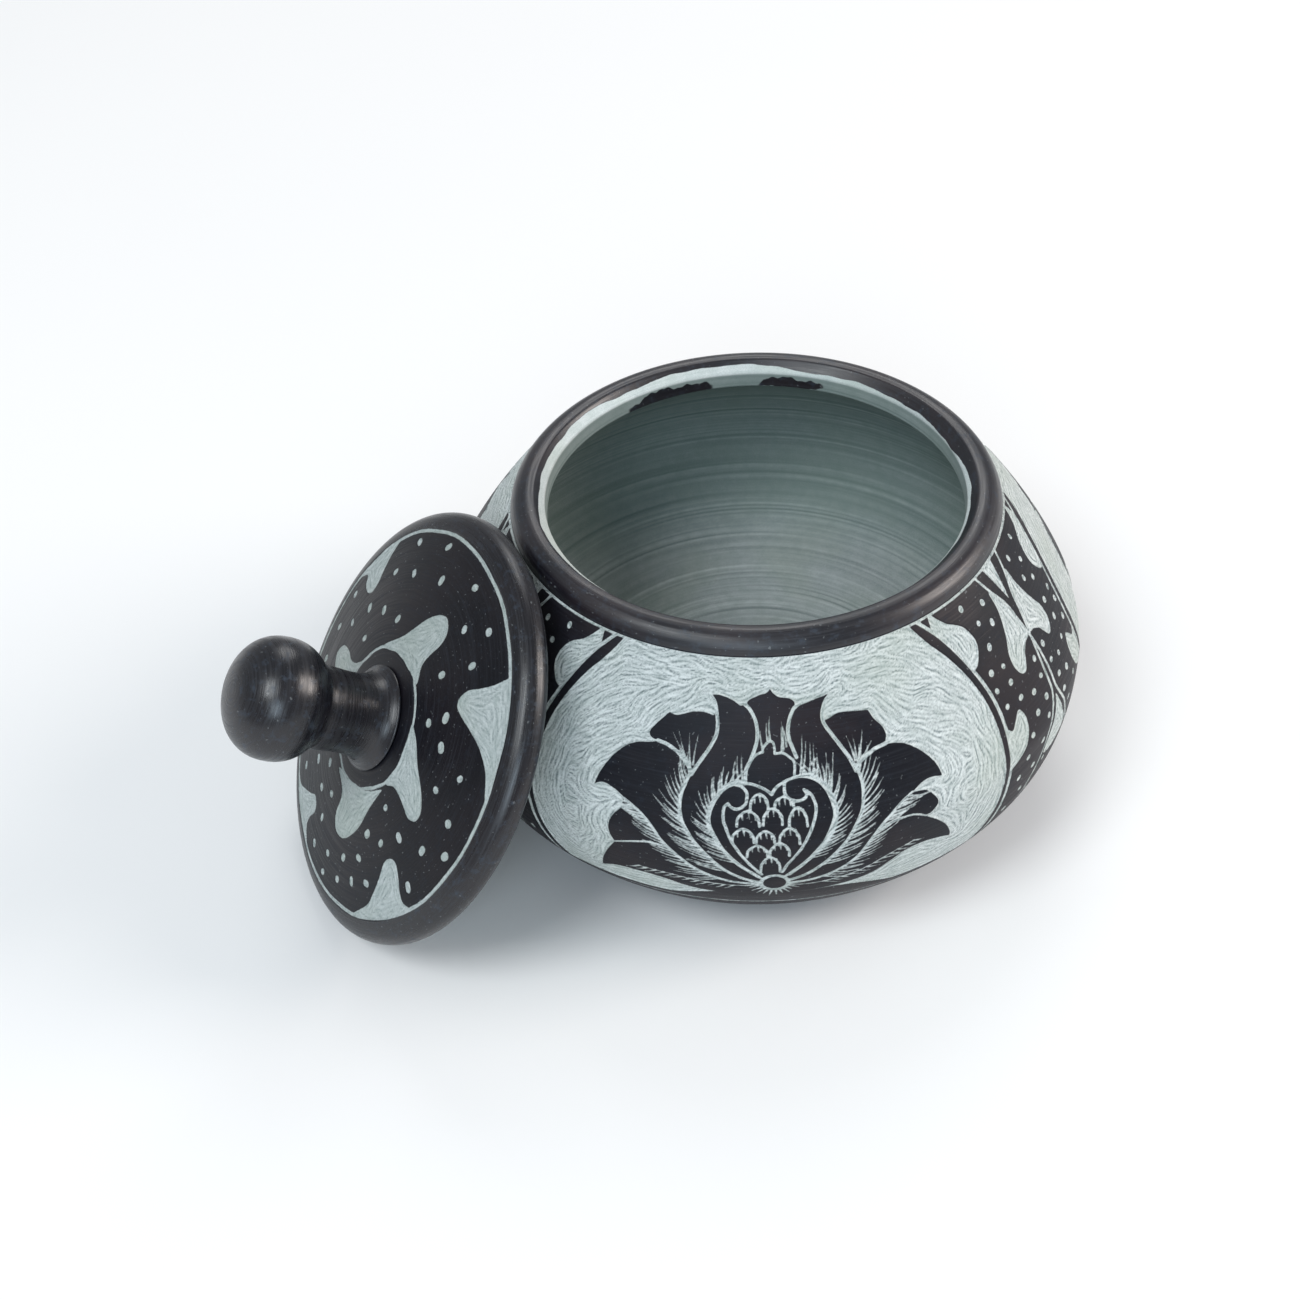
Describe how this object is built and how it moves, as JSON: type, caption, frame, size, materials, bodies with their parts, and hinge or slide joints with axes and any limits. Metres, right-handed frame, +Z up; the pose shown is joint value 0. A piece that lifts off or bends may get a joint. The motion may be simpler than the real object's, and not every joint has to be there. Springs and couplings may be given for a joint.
{
  "type": "lidded jar",
  "caption": "Squat wide-mouthed clay jar with a flat foot; its loose domed disc lid with a ball knob leans against its side.",
  "frame": {"origin": "centre of the flat underside of the pot's foot, on the ground", "axes": "+Z up along the pot's turning axis; the lotus panel faces -Y and the lid leans on the -X side, turned a little towards -Y"},
  "size_m": [0.176, 0.1505, 0.0756],
  "materials": {
    "pot_slip": "burnished black slip, scratched through to a grey-green body",
    "lid_slip": "burnished black slip, scratched through to a grey-green body",
    "knob_slip": "burnished black slip, plain"
  },
  "bodies": {
    "pot": {"pot_body": "pot_slip"},
    "lid": {"lid": "lid_slip", "lid_knob": "knob_slip"}
  },
  "joints": [
    {"name": "lid_lift", "type": "slide", "parent": "pot", "child": "lid", "axis": [-0.7475, -0.347, 0.5664], "range_m": [0, 0.15]}
  ]
}
